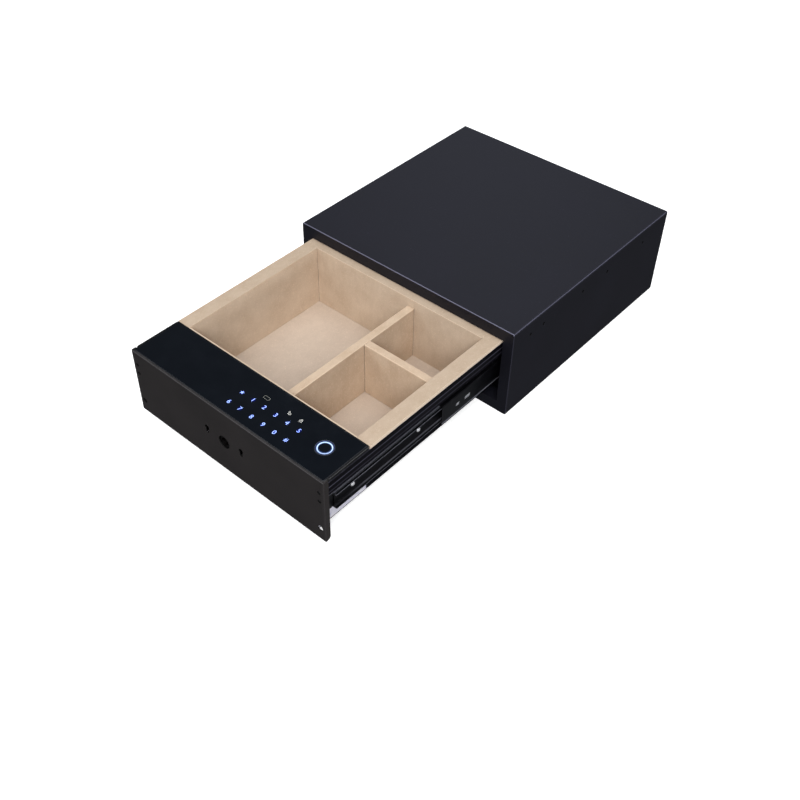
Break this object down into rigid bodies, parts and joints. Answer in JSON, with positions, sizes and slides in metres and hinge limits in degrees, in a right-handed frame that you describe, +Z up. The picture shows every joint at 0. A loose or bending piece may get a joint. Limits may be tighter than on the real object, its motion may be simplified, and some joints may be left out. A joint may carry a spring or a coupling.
{
  "type": "under desk drawer safe",
  "caption": "Low steel safe for the underside of a desk, with a lined drawer on telescopic ball slides, a glass touch keypad, a fingerprint reader and a key override.",
  "frame": {"origin": "centre of the casing's flat underside", "axes": "+X to the right of someone facing the drawer, +Y to the back along the drawer's travel, +Z up"},
  "size_m": [0.4, 0.748, 0.15],
  "materials": {
    "casing_paint": "satin powder coat, dark blue charcoal",
    "front_paint": "matt powder coat, warm dark grey",
    "pan_paint": "semi-gloss black paint",
    "slide_black": "black electrophoretic coat, semi-gloss",
    "zinc_plate": "bright zinc plate",
    "bright_steel": "plain bright steel",
    "chrome": "polished plate",
    "black_plastic": "fine matt moulded",
    "black_glass": "polished, printed black underneath",
    "blue_light": "lit light guide",
    "circuit_board": "solder mask over laminate",
    "lock_metal": "black plated zinc",
    "battery_cell": "plain wrapped cell, unlabelled",
    "rubber": "moulded",
    "suede": "short beige flock on board"
  },
  "bodies": {
    "casing": {"casing_shell": "casing_paint", "back_panel": "casing_paint", "slide_bracket_right": "casing_paint", "slide_bracket_left": "casing_paint", "slide_outer_right": "slide_black", "slide_outer_left": "slide_black", "slide_bumper_right": "rubber", "slide_bumper_left": "rubber", "bolt_strike": "bright_steel"},
    "drawer": {"slide_inner_right": "slide_black", "slide_inner_left": "slide_black", "lock_motor": "bright_steel", "drawer_pan": "pan_paint", "lock_housing": "zinc_plate", "slide_screw_1_right": "chrome", "slide_screw_1_left": "chrome", "slide_screw_2_right": "chrome", "slide_screw_2_left": "chrome", "slide_screw_3_right": "chrome", "slide_screw_3_left": "chrome", "slide_screw_4_right": "chrome", "slide_screw_4_left": "chrome", "drawer_front": "front_paint", "glass_bezel": "black_plastic", "reader_body": "black_plastic", "reader_ring": "black_plastic", "lock_case": "black_plastic", "battery_box": "black_plastic", "battery_cover": "black_plastic", "keypad_glass": "black_glass", "reader_disc": "black_glass", "reader_light": "blue_light", "touch_board": "circuit_board", "control_board": "circuit_board", "key_cylinder": "lock_metal", "battery_1": "battery_cell", "battery_2": "battery_cell", "battery_3": "battery_cell", "battery_4": "battery_cell", "lining_floor": "suede", "lining_side_right": "suede", "lining_side_left": "suede", "lining_back": "suede", "lining_front": "suede", "main_divider": "suede", "cross_divider": "suede"},
    "slide_middle_right": {"slide_middle_right": "slide_black"},
    "outer_ball_cage_right": {"outer_ball_cage_right": "bright_steel"},
    "inner_ball_cage_right": {"inner_ball_cage_right": "bright_steel"},
    "slide_middle_left": {"slide_middle_left": "slide_black"},
    "outer_ball_cage_left": {"outer_ball_cage_left": "bright_steel"},
    "inner_ball_cage_left": {"inner_ball_cage_left": "bright_steel"},
    "lock_bolt": {"lock_bolt": "bright_steel"},
    "key_plug": {"key_plug": "lock_metal"}
  },
  "joints": [
    {"name": "drawer_slide", "type": "slide", "parent": "casing", "child": "drawer", "axis": [0, 1, 0], "range_m": [0, 0.348]},
    {"name": "slide_middle_right_run", "type": "slide", "parent": "casing", "child": "slide_middle_right", "axis": [0, 1, 0], "range_m": [0, 0.174]},
    {"name": "outer_ball_cage_right_run", "type": "slide", "parent": "casing", "child": "outer_ball_cage_right", "axis": [0, 1, 0], "range_m": [0, 0.087]},
    {"name": "inner_ball_cage_right_run", "type": "slide", "parent": "casing", "child": "inner_ball_cage_right", "axis": [0, 1, 0], "range_m": [0, 0.261]},
    {"name": "slide_middle_left_run", "type": "slide", "parent": "casing", "child": "slide_middle_left", "axis": [0, 1, 0], "range_m": [0, 0.174]},
    {"name": "outer_ball_cage_left_run", "type": "slide", "parent": "casing", "child": "outer_ball_cage_left", "axis": [0, 1, 0], "range_m": [0, 0.087]},
    {"name": "inner_ball_cage_left_run", "type": "slide", "parent": "casing", "child": "inner_ball_cage_left", "axis": [0, 1, 0], "range_m": [0, 0.261]},
    {"name": "bolt_drop", "type": "slide", "parent": "drawer", "child": "lock_bolt", "axis": [0, 0, -1], "range_m": [0, 0.0085]},
    {"name": "key_turn", "type": "hinge", "parent": "drawer", "child": "key_plug", "pos_m": [-0.0015, -0.53, 0.0735], "axis": [0, 1, 0], "range_deg": [0, 90]}
  ],
  "couplings": [
    {"joint": "slide_middle_right_run", "follows": "drawer_slide", "ratio": 0.5},
    {"joint": "outer_ball_cage_right_run", "follows": "drawer_slide", "ratio": 0.25},
    {"joint": "inner_ball_cage_right_run", "follows": "drawer_slide", "ratio": 0.75},
    {"joint": "slide_middle_left_run", "follows": "drawer_slide", "ratio": 0.5},
    {"joint": "outer_ball_cage_left_run", "follows": "drawer_slide", "ratio": 0.25},
    {"joint": "inner_ball_cage_left_run", "follows": "drawer_slide", "ratio": 0.75},
    {"joint": "key_turn", "follows": "bolt_drop", "rad_per_m": 184.8}
  ]
}
